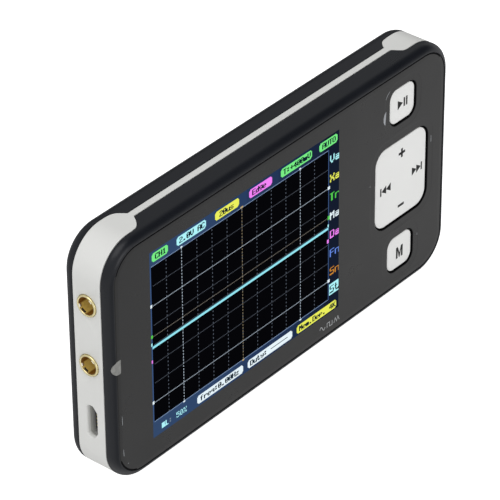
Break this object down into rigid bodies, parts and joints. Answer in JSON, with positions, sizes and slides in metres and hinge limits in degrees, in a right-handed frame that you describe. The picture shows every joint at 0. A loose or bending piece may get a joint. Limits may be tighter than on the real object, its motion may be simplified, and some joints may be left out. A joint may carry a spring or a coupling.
{
  "type": "pocket oscilloscope",
  "caption": "Slab-shaped hand-held oscilloscope with a colour display behind a flush lens, square keys and a rocking four-way pad, coaxial sockets and a charging socket on one end.",
  "frame": {"origin": "centre of the flat back face", "axes": "+X along the case from the socket end to the power switch end, -Y out of the display towards the user, +Z towards the top of the display"},
  "size_m": [0.1052, 0.012, 0.0552],
  "materials": {
    "shell_black": "satin moulded",
    "frame_grey": "fine satin",
    "lens": "satin, clear over the display",
    "mask_black": "printed film",
    "light_guide": "frosted",
    "screw_black": "black oxide",
    "display_glass": "polished, lit display",
    "tray_steel": "plain sheet",
    "foam": "closed-cell foam",
    "polyimide": "film",
    "board_green": "solder mask",
    "ptfe": "natural",
    "gold": "gold plated",
    "steel": "tinned",
    "black_plastic": "moulded",
    "battery_foil": "laminated foil",
    "wire_red": "insulation",
    "wire_black": "insulation",
    "key_white": "satin moulded",
    "plunger": "moulded"
  },
  "bodies": {
    "case": {"rear_cover": "shell_black", "front_shell": "shell_black", "middle_frame": "frame_grey", "front_lens": "lens", "lens_mask": "mask_black", "light_guide": "light_guide", "screw_top_left": "screw_black", "screw_top_right": "screw_black", "screw_bottom_right": "screw_black", "screw_bottom_left": "screw_black", "display_glass": "display_glass", "display_tray": "tray_steel", "display_foam": "foam", "display_flex": "polyimide", "main_board": "board_green", "flex_socket": "ptfe", "input_jack_shell": "gold", "input_jack_insulator": "ptfe", "input_jack_contact": "gold", "output_jack_shell": "gold", "output_jack_insulator": "ptfe", "output_jack_contact": "gold", "usb_shell": "steel", "usb_tongue": "black_plastic", "power_switch_housing": "steel", "status_led": "ptfe", "processor_chip": "black_plastic", "memory_chip": "black_plastic", "input_amplifier": "black_plastic", "charger_chip": "black_plastic", "clock_crystal": "steel", "buzzer": "black_plastic", "nav_pivot_post": "steel", "play_switch": "steel", "mode_switch": "steel", "nav_up_switch": "steel", "nav_down_switch": "steel", "nav_left_switch": "steel", "nav_right_switch": "steel", "battery": "battery_foil", "battery_pad": "foam", "battery_socket": "ptfe", "battery_wire_red": "wire_red", "battery_wire_black": "wire_black"},
    "play_key": {"play_key": "key_white"},
    "play_plunger": {"play_plunger": "plunger"},
    "mode_key": {"mode_key": "key_white"},
    "mode_plunger": {"mode_plunger": "plunger"},
    "nav_gimbal": {"nav_gimbal": "steel"},
    "nav_pad": {"nav_pad": "key_white"},
    "nav_up_plunger": {"nav_up_plunger": "plunger"},
    "nav_down_plunger": {"nav_down_plunger": "plunger"},
    "nav_left_plunger": {"nav_left_plunger": "plunger"},
    "nav_right_plunger": {"nav_right_plunger": "plunger"},
    "power_knob": {"power_knob": "key_white"}
  },
  "joints": [
    {"name": "play_press", "type": "slide", "parent": "case", "child": "play_key", "axis": [0, 1, 0], "range_m": [0, 0.00035]},
    {"name": "play_switch_travel", "type": "slide", "parent": "case", "child": "play_plunger", "axis": [0, 1, 0], "range_m": [0, 0.00035]},
    {"name": "mode_press", "type": "slide", "parent": "case", "child": "mode_key", "axis": [0, 1, 0], "range_m": [0, 0.00035]},
    {"name": "mode_switch_travel", "type": "slide", "parent": "case", "child": "mode_plunger", "axis": [0, 1, 0], "range_m": [0, 0.00035]},
    {"name": "nav_tilt_side", "type": "hinge", "parent": "case", "child": "nav_gimbal", "pos_m": [0.03693, -0.0085, -0.00005], "axis": [0, 0, 1], "range_deg": [-2, 2], "stiffness_Nm_per_rad": 0.004},
    {"name": "nav_tilt_updown", "type": "hinge", "parent": "nav_gimbal", "child": "nav_pad", "pos_m": [0.03693, -0.0085, -0.00005], "axis": [-1, 0, 0], "range_deg": [-2, 2], "stiffness_Nm_per_rad": 0.004},
    {"name": "nav_up_travel", "type": "slide", "parent": "case", "child": "nav_up_plunger", "axis": [0, 1, 0], "range_m": [-0.00023, 0.00023]},
    {"name": "nav_down_travel", "type": "slide", "parent": "case", "child": "nav_down_plunger", "axis": [0, 1, 0], "range_m": [-0.00023, 0.00023]},
    {"name": "nav_left_travel", "type": "slide", "parent": "case", "child": "nav_left_plunger", "axis": [0, 1, 0], "range_m": [-0.00023, 0.00023]},
    {"name": "nav_right_travel", "type": "slide", "parent": "case", "child": "nav_right_plunger", "axis": [0, 1, 0], "range_m": [-0.00023, 0.00023]},
    {"name": "power_slide", "type": "slide", "parent": "case", "child": "power_knob", "axis": [0, 0, 1], "range_m": [0, 0.002]}
  ],
  "couplings": [
    {"joint": "play_switch_travel", "follows": "play_press", "ratio": 1},
    {"joint": "mode_switch_travel", "follows": "mode_press", "ratio": 1},
    {"joint": "nav_up_travel", "follows": "nav_tilt_updown", "m_per_rad": 0.0063},
    {"joint": "nav_down_travel", "follows": "nav_tilt_updown", "m_per_rad": -0.0063},
    {"joint": "nav_left_travel", "follows": "nav_tilt_side", "m_per_rad": -0.0054},
    {"joint": "nav_right_travel", "follows": "nav_tilt_side", "m_per_rad": 0.0054}
  ]
}
